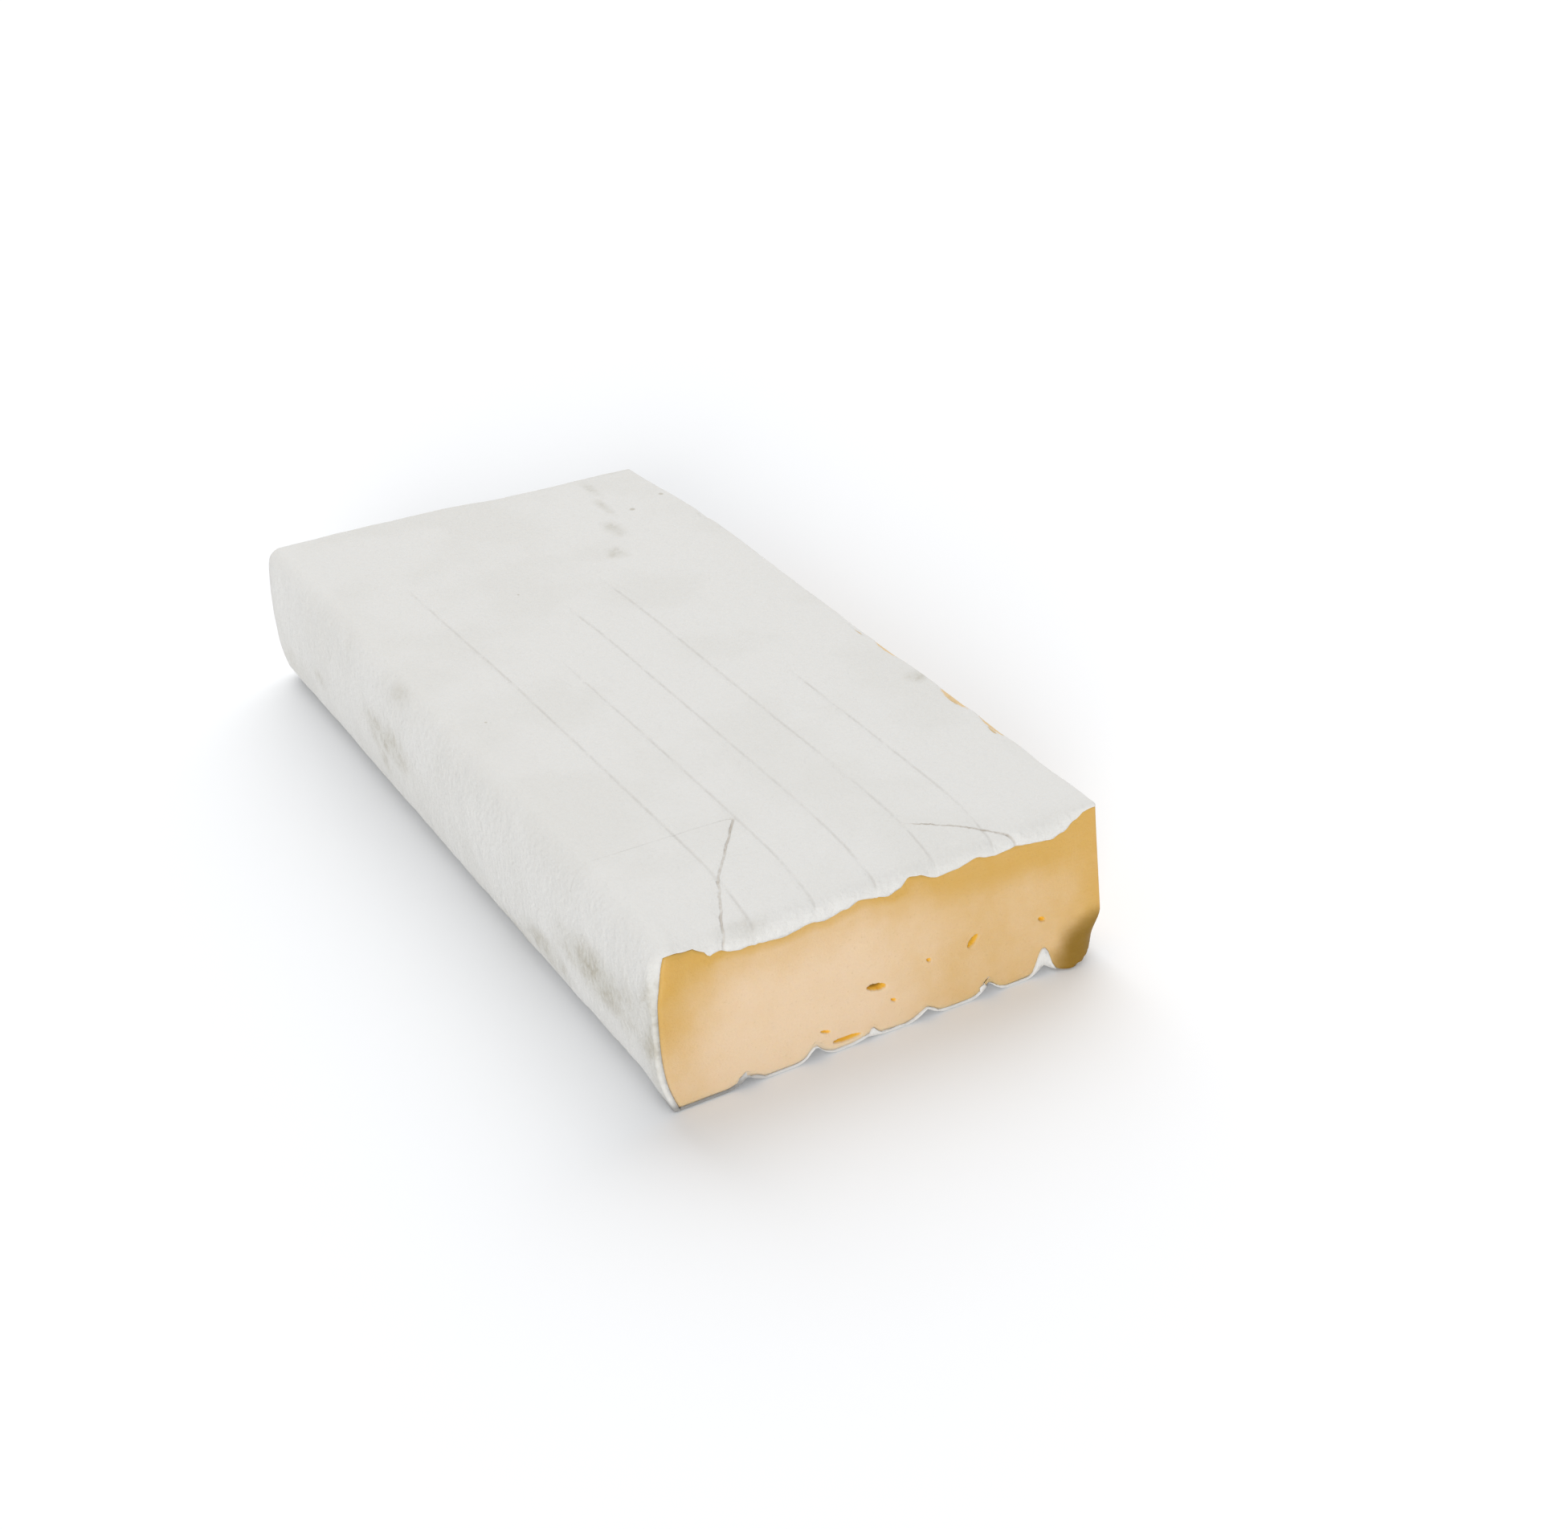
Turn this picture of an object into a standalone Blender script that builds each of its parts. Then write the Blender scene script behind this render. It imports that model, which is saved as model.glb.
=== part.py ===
"""Half of a rectangular soft-ripened brie, modelled as one solid that rests on its base.

White rind covers the top, the base, the long left side and the back end. A knife has opened
the front end and the long right side, so both show the paste, with a few small eyes in it.
The draining mat has left straight lines in the top and deeper grooves in the base.

Metres, +Z up. The origin is the middle of the base. +X points to the cut side, and -Y to the
cut end.
"""

import math

import bmesh
import bpy
from mathutils import Vector, noise

MM = 0.001

# Overall size
WIDTH = 118 * MM
LENGTH = 234 * MM
HEIGHT = 40 * MM

# How far each wall departs from upright, and from straight along its length
BELLY_HEIGHT = 24 * MM
RIND_FOOT_SETBACK = 5 * MM
FRONT_SHOULDER_SETBACK = 2.4 * MM
BACK_SHOULDER_SETBACK = 0.6 * MM
RIND_SIDE_TAPER = 1.5 * MM
CUT_SIDE_LEAN = 0.7 * MM
CUT_CORNER_LEAN = 1.6 * MM
CUT_SIDE_PINCH = 2.6 * MM
CUT_SIDE_PINCH_REACH = 50 * MM
CUT_END_LEAN = 3 * MM
BACK_END_SKEW = 2.4 * MM

# The soft heel bulges at the foot of the corner between the two cuts
HEEL_BULGE = 2.7 * MM
HEEL_PLACE = 42 * MM
HEEL_RISE = 7 * MM
HEEL_HEIGHT = 12 * MM

# Edge radii: the rind is round, a fresh cut is sharp, and the heel has slumped
RIND_TOP_RADIUS = 5 * MM
RIND_BASE_RADIUS = 2.5 * MM
RIND_CORNER_RADIUS = 4.5 * MM
CUT_RADIUS = 0.8 * MM
CUT_FOOT_RADIUS = 0.3 * MM
LIP_RADIUS = 3 * MM
HEEL_RADIUS = 8 * MM
HEEL_SIDE_RADIUS = 4 * MM
HEEL_SIDE_RISE = 9 * MM
HEEL_FOOT_RADIUS = 5 * MM

# The top rind sinks towards the cut end, most along the mat's lines
DROOP_REACH = 22 * MM
DROOP = 1.6 * MM
DROOP_AT_LINE = 1 * MM

# Marks of the draining mat, which run along the length: in the top, where each line fades out,
# and in the base, the place and depth of each groove
MAT_PITCH = 15.6 * MM
FIRST_TOP_LINE = -31.8 * MM
TOP_LINE_ENDS = [end * MM for end in (74, 6, 36, 46, -28)]
TOP_LINE_FADE = 14 * MM
TOP_LINE_DEPTH = 0.35 * MM
TOP_LINE_HALF_WIDTH = 0.9 * MM
LINE_BEND_AT_CUT = 1.8 * MM
LINE_BEND_AT_BACK = 1.4 * MM
BASE_GROOVES = [
    (place * MM, depth * MM)
    for place, depth in ((-37.2, 2.3), (-19.6, 3.2), (-6.1, 0.9), (9.9, 2.3), (26.8, 3.2), (42.3, 2.4))
]
BASE_GROOVE_HALF_WIDTH = 5.5 * MM
GROOVE_FADE_HEIGHT = 9 * MM

# Soft unevenness of the whole skin, from noise read at a place of its own along each axis
LUMP = 0.5 * MM
LUMP_SIZE = 38 * MM
LUMP_OFFSETS = ((0, 0, 0), (17, 0, 5), (0, 31, 9))

# Grid of the skin
WIDEST_COLUMN = 7 * MM
WIDEST_ROW = 11 * MM
WIDEST_LEVEL = 5 * MM

# Eyes in the paste: place along the cut, height, length, thickness, depth, tilt in degrees
END_EYES = [
    (-3.4, 12.7, 5.4, 1.8, 3.0, -14),
    (22.6, 15.5, 3.8, 1.8, 3.0, 42),
    (10.6, 14.7, 1.4, 0.9, 1.2, -30),
    (42.0, 14.5, 2.2, 1.1, 1.4, -28),
    (-11.5, 2.4, 7.6, 1.4, 1.8, -3),
    (-17.0, 6.1, 2.8, 0.8, 1.0, -20),
    (1.0, 7.8, 1.6, 0.8, 1.0, -28),
]
SIDE_EYES = [
    (-88.0, 21.0, 2.4, 1.4, 1.8, 20),
    (-61.0, 12.5, 4.6, 1.8, 2.6, -12),
    (-30.0, 26.0, 1.6, 1.2, 1.4, 0),
    (-9.0, 16.0, 3.4, 1.6, 2.4, 35),
    (38.0, 10.0, 2.0, 1.2, 1.6, 0),
    (57.0, 24.0, 4.0, 1.5, 2.4, 8),
    (91.0, 15.0, 1.8, 1.3, 1.6, -30),
]

RIND_COLOUR = (0.78, 0.77, 0.73, 1)
PASTE_COLOUR = (0.80, 0.58, 0.32, 1)


def mix(low, high, share):
    """The value that lies this share of the way from low to high."""
    return low + (high - low) * share


def smooth(share):
    """A share from 0 to 1 that starts and ends gently."""
    share = min(1.0, max(0.0, share))
    return share * share * (3 - 2 * share)


def nearness(distance, reach):
    """1 at no distance, falling to 0 at the reach."""
    return 1 - smooth(distance / reach)


def filled(places, widest):
    """Grid places in order, with more between them wherever a gap is wider than allowed."""
    places = sorted(places)
    kept = [places[0]]
    for place in places[1:]:
        gap = place - kept[-1]
        if gap < 0.35 * MM:
            continue
        steps = math.ceil(gap / widest)
        kept += [kept[-1] + gap * step / steps for step in range(1, steps + 1)]
    kept[-1] = places[-1]
    return kept


def top_line_places():
    return [FIRST_TOP_LINE + MAT_PITCH * i for i in range(len(TOP_LINE_ENDS))]


def line_bend(y):
    """How far to the left the mat's lines have drifted at this place along the block."""
    at_cut = LINE_BEND_AT_CUT * nearness(y + LENGTH / 2, 30 * MM)
    return at_cut + LINE_BEND_AT_BACK * smooth(y / (70 * MM))


def rind_side_setback(z, to_back):
    """How far a rind wall stands in from its belly at this height, nearer the front or the back."""
    if z < BELLY_HEIGHT:
        return RIND_FOOT_SETBACK * (1 - z / BELLY_HEIGHT) ** mix(3, 1.5, to_back)
    shoulder = mix(FRONT_SHOULDER_SETBACK, BACK_SHOULDER_SETBACK, to_back)
    return shoulder * ((z - BELLY_HEIGHT) / (HEIGHT - BELLY_HEIGHT)) ** 2


def wall_places(x, y, z):
    """The left, right, front and back walls near this place."""
    to_back = smooth((y + LENGTH / 4) / (0.75 * LENGTH))
    setback = rind_side_setback(z, to_back)
    left = -WIDTH / 2 + mix(setback, RIND_SIDE_TAPER + 0.7 * setback, to_back)
    lean = mix(CUT_SIDE_LEAN, CUT_CORNER_LEAN, nearness(y + LENGTH / 2, CUT_SIDE_PINCH_REACH))
    right = WIDTH / 2 - lean * max(0.0, z - HEEL_HEIGHT) / (HEIGHT - HEEL_HEIGHT)
    right -= CUT_SIDE_PINCH * nearness(LENGTH / 2 - y, CUT_SIDE_PINCH_REACH)
    heel = smooth((x - HEEL_PLACE) / HEEL_RISE) * nearness(z, HEEL_HEIGHT)
    front = -LENGTH / 2 + HEEL_BULGE * (1 - heel) + CUT_END_LEAN * z / HEIGHT
    back = LENGTH / 2 - 0.8 * rind_side_setback(z, 1) - BACK_END_SKEW * smooth((x + 5 * MM) / (25 * MM))
    return left, right, front, back


def edge_radii(x, y, z):
    """The radii in X, Y and Z by which the block's edges are rounded near this place."""
    high = smooth((z - HEIGHT + 16 * MM) / (8 * MM))
    low = smooth((HEEL_HEIGHT - z) / (8 * MM))
    to_left = nearness(x + WIDTH / 2, 16 * MM)
    to_right = nearness(WIDTH / 2 - x, 18 * MM)
    to_front = nearness(y + LENGTH / 2, 14 * MM)
    to_back = nearness(LENGTH / 2 - y, 20 * MM)
    if x < 0:
        across = mix(CUT_RADIUS, RIND_TOP_RADIUS, high)
        across = mix(across, mix(RIND_BASE_RADIUS, CUT_RADIUS, to_front), low)
        across = mix(across, RIND_CORNER_RADIUS, to_back)
    else:
        across = mix(CUT_RADIUS, mix(HEEL_SIDE_RADIUS, HEEL_RADIUS, to_front), low)
    if y < 0:
        along = mix(mix(CUT_RADIUS, LIP_RADIUS, high * (1 - to_right)), HEEL_RADIUS, low * to_right)
    else:
        along = mix(mix(RIND_CORNER_RADIUS, RIND_TOP_RADIUS, high), RIND_BASE_RADIUS, low)
        along = mix(along, CUT_RADIUS, to_right * (1 - high) * (1 - low))
    if z > HEIGHT / 2:
        up = mix(RIND_TOP_RADIUS, LIP_RADIUS, to_front * (1 - to_left))
        up = mix(up, CUT_RADIUS, nearness(WIDTH / 2 - x, 9 * MM) * (1 - to_back))
    else:
        up = mix(RIND_BASE_RADIUS, HEEL_SIDE_RISE, to_right)
        at_front = mix(CUT_FOOT_RADIUS, HEEL_FOOT_RADIUS, nearness(WIDTH / 2 - x, 10 * MM))
        up = mix(up, at_front, to_front)
    return across, along, up


def rounded(place):
    """Moves a place on the plain box onto the box with rounded edges."""
    radii = edge_radii(*place)
    low = (-WIDTH / 2, -LENGTH / 2, 0.0)
    high = (WIDTH / 2, LENGTH / 2, HEIGHT)
    core, reach = [], []
    for axis in range(3):
        inner_low = low[axis] + radii[axis]
        inner_high = high[axis] - radii[axis]
        core.append(min(inner_high, max(inner_low, place[axis])))
        reach.append((place[axis] - core[axis]) / radii[axis])
    reach = Vector(reach)
    if reach.length > 1e-9:
        reach = reach * max(abs(part) for part in reach) / reach.length
    return Vector(core[axis] + reach[axis] * radii[axis] for axis in range(3))


def leaned(p):
    """Stretches the block between its four walls, which aren't upright."""
    left, right, front, back = wall_places(p.x, p.y, p.z)
    x = mix(left, right, p.x / WIDTH + 0.5)
    y = mix(front, back, p.y / LENGTH + 0.5)
    return Vector((x, y, p.z))


def groove_height(x):
    """How far the base is lifted by the mat's grooves. The lobes between them stay flat."""
    lift = 0.0
    for place, depth in BASE_GROOVES:
        nearby = max(0.0, 1 - abs(x - place) / BASE_GROOVE_HALF_WIDTH)
        lift = max(lift, depth * nearby**2)
    return lift


def line_strength(x, y):
    """How strongly a mat's line marks the top here: 1 in its middle, 0 beside it and past its end."""
    strength = 0.0
    for place, end in zip(top_line_places(), TOP_LINE_ENDS):
        beside = max(0.0, 1 - abs(x - place) / TOP_LINE_HALF_WIDTH)
        strength = max(strength, beside * (1 - smooth((y - end) / TOP_LINE_FADE)))
    return strength


def top_sink(x, y):
    """How far the top lies below the full height: the mat's lines, and the droop to the cut end."""
    from_line = min(abs(x - place) for place in top_line_places())
    droop = DROOP + DROOP_AT_LINE * math.cos(math.pi * from_line / MAT_PITCH) ** 2
    droop *= nearness(-x - (WIDTH / 2 - 9 * MM), 5 * MM) * nearness(x - 45 * MM, 10 * MM)
    droop *= max(0.0, 1 - (y + LENGTH / 2) / DROOP_REACH) ** 2
    return droop + TOP_LINE_DEPTH * line_strength(x, y)


def lumpy(p):
    """Adds soft unevenness, none of it on the base."""
    rise = LUMP * smooth(p.z / (10 * MM))
    drift = [noise.noise(p / LUMP_SIZE + Vector(offset)) * rise for offset in LUMP_OFFSETS]
    return p + Vector((drift[0], drift[1], drift[2] * p.z / HEIGHT))


def formed(place):
    """The place on the cheese's skin of a place on the plain box."""
    p = leaned(rounded(place))
    high = smooth((p.z - HEIGHT / 2) / (HEIGHT / 2))
    lift = groove_height(p.x) * max(0.0, 1 - p.z / GROOVE_FADE_HEIGHT) ** 2
    sink = top_sink(p.x + straightened(p), p.y) * high
    p = lumpy(p)
    p.z += lift - sink
    p.x -= line_bend(p.y) * high * nearness(abs(p.x) - 35 * MM, 18 * MM)
    return p


def straightened(p):
    """The sideways way from a place on the skin back to its grid column, away from the walls' lean."""
    left, right = wall_places(p.x, p.y, HEIGHT)[:2]
    straight_left, straight_right = wall_places(p.x, 0.0, HEIGHT)[:2]
    share = (p.x - left) / (right - left)
    return mix(straight_left, straight_right, share) - p.x


def column_for(x, z):
    """The grid column that the leaning walls carry to the place x at the height z."""
    left, right = wall_places(x, 0.0, z)[:2]
    return ((x - left) / (right - left) - 0.5) * WIDTH


def grid_columns():
    places = [-WIDTH / 2, WIDTH / 2]
    places += [-WIDTH / 2 + step * MM for step in (1, 3.5, 8)]
    places += [WIDTH / 2 - step * MM for step in (1, 4, 8)]
    for line in top_line_places():
        places += [column_for(line + step * TOP_LINE_HALF_WIDTH, HEIGHT) for step in (-1, 0, 1)]
    for groove, _ in BASE_GROOVES:
        for step in (-1, -0.4, 0, 0.4, 1):
            places.append(column_for(groove + step * BASE_GROOVE_HALF_WIDTH, 0.0))
    return filled(places, WIDEST_COLUMN)


def grid_rows():
    places = [-LENGTH / 2 + step * MM for step in (0, 1, 2.2, 3.5, 6, 10, 15)]
    places += [LENGTH / 2 - step * MM for step in (0, 1.5, 4, 7, 11)]
    return filled(places, WIDEST_ROW)


def grid_levels():
    places = [step * MM for step in (0, 1.5, 4, 8)]
    places += [HEIGHT - step * MM for step in (0, 1, 2.2, 3.5, 7)]
    return filled(places, WIDEST_LEVEL)


def new_material(name, colour, roughness):
    material = bpy.data.materials.new(name)
    material.use_nodes = True
    shader = material.node_tree.nodes["Principled BSDF"]
    shader.inputs["Base Color"].default_value = colour
    shader.inputs["Roughness"].default_value = roughness
    shader.inputs["Metallic"].default_value = 0.0
    return material


def new_collection(name):
    collection = bpy.data.collections.new(name)
    bpy.context.scene.collection.children.link(collection)
    return collection


def move_to(obj, collection):
    for home in list(obj.users_collection):
        home.objects.unlink(obj)
    collection.objects.link(obj)


def split_along(bm, axis, cuts):
    """Cuts every edge that runs along this axis, so that the box becomes a grid."""
    edges = []
    for edge in bm.edges:
        span = edge.verts[1].co - edge.verts[0].co
        if abs(span[axis]) > 0.5 * span.length:
            edges.append(edge)
    bmesh.ops.subdivide_edges(bm, edges=edges, cuts=cuts, use_grid_fill=True)


def centre_over_base(bm):
    """Slides the cheese until the middle of its outline is over the origin."""
    for axis in range(2):
        places = [vert.co[axis] for vert in bm.verts]
        off_centre = Vector()
        off_centre[axis] = -(min(places) + max(places)) / 2
        bmesh.ops.translate(bm, verts=bm.verts, vec=off_centre)


def build_block(collection, rind, paste):
    """The whole cheese: a gridded box whose points are moved onto the cheese's skin."""
    grid = [grid_columns(), grid_rows(), grid_levels()]
    bpy.ops.mesh.primitive_cube_add(size=1)
    block = bpy.context.object
    block.name = "brie_block"
    move_to(block, collection)
    bm = bmesh.new()
    bm.from_mesh(block.data)
    for axis in range(3):
        split_along(bm, axis, len(grid[axis]) - 2)
    for vert in bm.verts:
        place = []
        for axis in range(3):
            index = round((vert.co[axis] + 0.5) * (len(grid[axis]) - 1))
            place.append(grid[axis][index])
        vert.co = formed(place)
    centre_over_base(bm)
    bm.normal_update()
    for face in bm.faces:
        facing = face.normal
        middle = face.calc_center_median()
        on_end = facing.y < -0.7 and middle.z < HEIGHT - 3.5 * MM
        on_side = facing.x > 0.7
        face.material_index = 1 if on_end or on_side else 0
    bm.to_mesh(block.data)
    bm.free()
    block.data.materials.append(rind)
    block.data.materials.append(paste)
    block.data.shade_smooth()
    block.data.set_sharp_from_angle(angle=math.radians(40))
    return block


def build_eye(name, place, size, turn, collection, paste):
    """A cutter for one eye: a small flattened ball that straddles the cut face."""
    bpy.ops.mesh.primitive_ico_sphere_add(subdivisions=2, radius=0.5)
    eye = bpy.context.object
    eye.name = name
    eye.location = place
    eye.rotation_euler = turn
    eye.scale = size
    eye.data.materials.append(paste)
    eye.display_type = "WIRE"
    eye.hide_render = True
    move_to(eye, collection)
    return eye


def build_eyes(collection, paste):
    for number, (x, z, long, thick, deep, tilt) in enumerate(END_EYES, 1):
        front = wall_places(x * MM, -LENGTH / 2, z * MM)[2]
        build_eye(
            f"end_eye_{number}",
            (x * MM, front, z * MM),
            (long * MM, 2 * deep * MM, thick * MM),
            (0, -math.radians(tilt), 0),
            collection,
            paste,
        )
    for number, (y, z, long, thick, deep, tilt) in enumerate(SIDE_EYES, 1):
        right = wall_places(WIDTH / 2, y * MM, z * MM)[1]
        build_eye(
            f"side_eye_{number}",
            (right, y * MM, z * MM),
            (2 * deep * MM, long * MM, thick * MM),
            (math.radians(tilt), 0, 0),
            collection,
            paste,
        )


def main():
    for obj in list(bpy.data.objects):
        bpy.data.objects.remove(obj)
    cheese = new_collection("brie")
    cutters = new_collection("eye_cutters")
    rind = new_material("white_rind", RIND_COLOUR, 0.8)
    paste = new_material("ripe_paste", PASTE_COLOUR, 0.42)
    block = build_block(cheese, rind, paste)
    build_eyes(cutters, paste)
    cut = block.modifiers.new("eyes", "BOOLEAN")
    cut.operation = "DIFFERENCE"
    cut.operand_type = "COLLECTION"
    cut.collection = cutters


main()
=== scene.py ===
"""Half a block of soft-ripened cheese: a white rind round a ripe paste that a knife has opened.

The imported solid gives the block's place and outline. The rind is a coat with a real thickness and
a ragged edge, and the paste fills it and shows at the cut end and along the cut side.
"""

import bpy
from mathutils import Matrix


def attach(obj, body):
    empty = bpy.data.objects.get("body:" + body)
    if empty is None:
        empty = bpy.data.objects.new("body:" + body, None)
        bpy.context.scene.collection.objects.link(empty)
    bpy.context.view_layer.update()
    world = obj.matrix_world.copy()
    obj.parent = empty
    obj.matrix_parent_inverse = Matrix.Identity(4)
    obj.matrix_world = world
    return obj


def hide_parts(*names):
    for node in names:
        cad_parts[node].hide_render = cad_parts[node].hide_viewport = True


bl_info = {
    "name": "Cut Cheese Block",
    "version": (1, 0, 0),
    "blender": (4, 5, 0),
    "location": "View3D > Sidebar > Cheese",
    "description": "Models half a block of soft-ripened cheese with a white rind",
    "category": "Add Mesh",
}

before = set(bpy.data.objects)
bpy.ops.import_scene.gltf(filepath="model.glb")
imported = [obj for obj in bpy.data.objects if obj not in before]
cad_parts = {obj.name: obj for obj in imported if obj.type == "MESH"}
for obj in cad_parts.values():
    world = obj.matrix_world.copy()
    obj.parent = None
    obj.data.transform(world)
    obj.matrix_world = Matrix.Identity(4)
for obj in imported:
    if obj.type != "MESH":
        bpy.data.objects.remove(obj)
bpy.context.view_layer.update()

import math
from types import SimpleNamespace

import bmesh
import bpy
from bpy.props import FloatProperty, FloatVectorProperty, PointerProperty
from mathutils import Vector, noise

MM = 0.001

# How far each wall departs from upright, and from straight along its length
BELLY_HEIGHT = 24 * MM
RIND_FOOT_SETBACK = 3.6 * MM
FRONT_SHOULDER_SETBACK = 2.4 * MM
BACK_SHOULDER_SETBACK = 0.6 * MM
RIND_SIDE_TAPER = 1.5 * MM
CUT_SIDE_LEAN = 0.7 * MM
CUT_CORNER_LEAN = 1.6 * MM
CUT_SIDE_PINCH = 2.6 * MM
CUT_SIDE_PINCH_REACH = 50 * MM
CUT_END_LEAN = 3.7 * MM
BACK_END_SKEW = 2.4 * MM

# The soft heel bulges at the foot of the corner between the two cuts
HEEL_BULGE = 2 * MM
HEEL_PLACE = 42 * MM
HEEL_RISE = 7 * MM
HEEL_HEIGHT = 12 * MM

# Edge radii: the rind is round, a fresh cut is sharp, and the heel has slumped
RIND_TOP_RADIUS = 5 * MM
RIND_BASE_RADIUS = 6.5 * MM
RIND_CORNER_RADIUS = 4.5 * MM
CUT_RADIUS = 0.8 * MM
CUT_FOOT_RADIUS = 0.3 * MM
LIP_RADIUS = 3 * MM
HEEL_RADIUS = 8 * MM
HEEL_SIDE_RADIUS = 4 * MM
HEEL_SIDE_RISE = 9 * MM
HEEL_FOOT_RADIUS = 5 * MM

# The top rind sinks towards the cut end, most along the mat's lines
DROOP_REACH = 22 * MM
DROOP_AT_LINE = 1 * MM

# Marks of the draining mat, which run along the length: in the top, where each line fades out,
# and in the base, the place and depth of each groove
FIRST_TOP_LINE = -31.8 * MM
TOP_LINE_ENDS = [end * MM for end in (60, 2, 30, 40, -32)]
TOP_LINE_FADE = 20 * MM
TOP_LINE_HALF_WIDTH = 0.7 * MM
LINE_BEND_AT_CUT = 1.8 * MM
CUT_BEND_REACH = 30 * MM
LINE_BEND_AT_BACK = 1.4 * MM
BACK_BEND_REACH = 70 * MM
BASE_GROOVES = [
    (place * MM, depth * MM)
    for place, depth in ((-37.2, 2.3), (-19.6, 3.2), (-6.1, 0.9), (9.9, 2.3), (26.8, 3.2), (42.3, 2.4))
]
BASE_GROOVE_HALF_WIDTH = 5.5 * MM
GROOVE_FADE_HEIGHT = 9 * MM

# Soft unevenness of the whole skin, from noise read at a place of its own along each axis
LUMP_SIZE = 38 * MM
LUMP_OFFSETS = ((0, 0, 0), (17, 0, 5), (0, 31, 9))

# The cottony rind's tufts, and the pits between them
TUFT_SIZE = 7 * MM
PIT_SIZE = 2.4 * MM

# The rind's lower edge on the cut end: place across the block, and height, in mm
RIND_LIP = [
    (-59.0, 38.6),
    (-52.6, 39.0),
    (-49.6, 38.4),
    (-48.2, 36.3),
    (-46.4, 35.4),
    (-44.5, 34.3),
    (-43.0, 34.7),
    (-36.0, 33.7),
    (-26.3, 33.0),
    (-18.4, 33.9),
    (-15.2, 33.2),
    (-9.0, 34.4),
    (-5.6, 35.2),
    (-2.0, 34.6),
    (1.6, 33.8),
    (4.4, 34.8),
    (7.4, 37.0),
    (10.0, 36.5),
    (14.2, 34.5),
    (20.1, 34.9),
    (24.4, 35.9),
    (30.9, 34.7),
    (36.6, 35.3),
    (45.9, 34.0),
    (49.0, 34.9),
    (52.3, 37.3),
    (55.1, 39.0),
    (57.0, 39.2),
]

# The thin white edge of the base rind on the cut end: place across the block, and height, in mm
RIND_FOOT = [
    (-59.0, 0.3),
    (-40.0, 0.3),
    (-37.2, 1.3),
    (-35.0, 0.4),
    (-25.0, 0.4),
    (-22.5, 1.6),
    (-19.6, 0.5),
    (-8.0, 0.3),
    (-6.1, 2.5),
    (-4.4, 0.7),
    (1.0, 0.3),
    (8.0, 1.3),
    (10.2, 1.2),
    (12.0, 0.3),
    (24.5, 0.3),
    (26.8, 1.2),
    (29.0, 0.3),
    (38.0, 0.5),
    (42.3, 6.8),
    (43.2, 5.4),
    (44.5, 0.3),
    (59.0, 0.3),
]

# How far the rind reaches over the long cut side, how both its edges waver, and how thin they get
SIDE_TOP_EDGE = 1.2 * MM
SIDE_FOOT_EDGE = 0.4 * MM
EDGE_WAVE_LENGTH = 9 * MM
EDGE_WAVE_DEPTH = 0.5 * MM
RAGGED_SIZE = 2.5 * MM
RAGGED_DEPTH = 0.3 * MM
LEAST_TOP_EDGE = 0.5 * MM
LEAST_FOOT_EDGE = 0.25 * MM

# Two cracks in the top rind run out to the cut end: places along the block and across it, in mm
LEFT_CRACK = [(-117.0, -43.0), (-111.6, -41.0), (-100.0, -35.3), (-93.0, -31.7), (-72.5, -15.3)]
RIGHT_CRACK = [(-117.0, 40.4), (-109.7, 32.5), (-103.6, 25.8), (-95.0, 14.2)]
CRACK_FADE = 3 * MM
CRACK_HALF_WIDTH = 1.5 * MM
CRACK_DEPTH = 0.3 * MM
CRACK_SLANT = 0.8

# Thin or stained mould: centre, reach along X, Y and Z in mm, and strength
RIND_STAINS = [
    ((-58, -86, 20), (9, 26, 9), 1.0),
    ((-58, -104, 19), (9, 12, 13), 0.5),
    ((-57, -113, 22), (11, 9, 24), 1.0),
    ((-58, -118, 24), (3, 4, 20), 1.0),
    ((-48, -114, 36), (5, 5, 5), 0.9),
    ((-36, -112, 38), (12, 6, 4), 0.35),
    ((-58, -60, 10), (9, 17, 7), 0.8),
    ((-58, -42, 5), (9, 14, 5), 0.7),
    ((-58, -20, 4), (9, 16, 4), 0.35),
    ((-57, 30, 21), (9, 22, 8), 0.75),
    ((-57, 33, 13), (9, 5, 7), 0.6),
    ((-57, 38, 5), (9, 4, 6), 0.5),
    ((-56, 80, 15), (9, 6, 4), 0.45),
    ((-56, 22, 37), (5, 6, 4), 0.4),
    ((-55, 98, 9), (9, 18, 7), 0.3),
    ((38, 103, 40), (2.5, 9, 5), 0.5),
    ((35.7, 90, 40), (2.2, 8, 5), 0.55),
    ((31.4, 75, 40), (4, 6, 5), 0.9),
    ((24.7, 61, 40), (4.5, 4, 5), 0.75),
    ((50.5, 112, 39), (8, 3, 5), 0.9),
    ((56, -40, 40), (5, 4, 5), 0.6),
]

# Small brown specks on top: centre and radius in mm
SPECKS = [((41.8, 84, 40), 1.1), ((53.8, 89, 40), 1.0), ((-9.5, 52, 40), 0.5), ((-46, -6, 40), 0.5)]

# Where the cut side's edge has lost its rind: place along the block, half-length and reach, in mm
TEARS = [(-92, 9, 0.9), (-70, 8, 2.0), (-54, 8, 3.0), (-24, 8, 2.3), (-10, 9, 1.2), (70, 4, 1.0)]
TEAR_DEPTH = 0.35 * MM

# Grid places that carry the rind's edges
RIM_WIDTH = 1.6 * MM
RIM_TOP = 2 * MM
RIM_FOOT = 1.2 * MM
HEEL_RIND_EDGE = 44.8 * MM
EDGE_REACH = 12 * MM
HAIR = 0.01 * MM

# The widest gaps in each piece's grid
COLUMN_GAP = 1.0 * MM
ROW_GAP = 3.2 * MM
RIND_LEVEL_GAP = 1.8 * MM
PASTE_LEVEL_GAP = 1.0 * MM

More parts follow.
